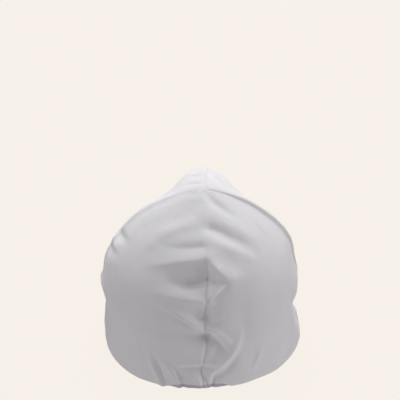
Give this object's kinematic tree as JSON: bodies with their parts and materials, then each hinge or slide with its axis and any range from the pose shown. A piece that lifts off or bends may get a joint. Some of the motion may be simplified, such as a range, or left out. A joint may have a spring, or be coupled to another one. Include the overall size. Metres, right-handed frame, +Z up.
{
  "type": "welding cap",
  "caption": "Soft white cotton cap for welders: rounded crown of sewn panels with a standing front seam, short stitched brim and gathered elastic nape, open underneath.",
  "frame": {"origin": "on the surface that the cap rests on, under the middle of its outline", "axes": "+Z up; +Y from the nape towards the brim; +X to the wearer's right"},
  "size_m": [0.1793, 0.2555, 0.1375],
  "materials": {
    "white_cotton": "matte plain-woven white cotton",
    "brim_cotton": "matte white cotton over a soft core, sewn through in rows",
    "elastic_tape": "grey knitted elastic"
  },
  "bodies": {
    "root": {"back_left_panel": "white_cotton", "back_right_panel": "white_cotton", "front_left_panel": "white_cotton", "front_right_panel": "white_cotton", "brim": "brim_cotton", "nape_elastic": "elastic_tape"}
  },
  "joints": []
}
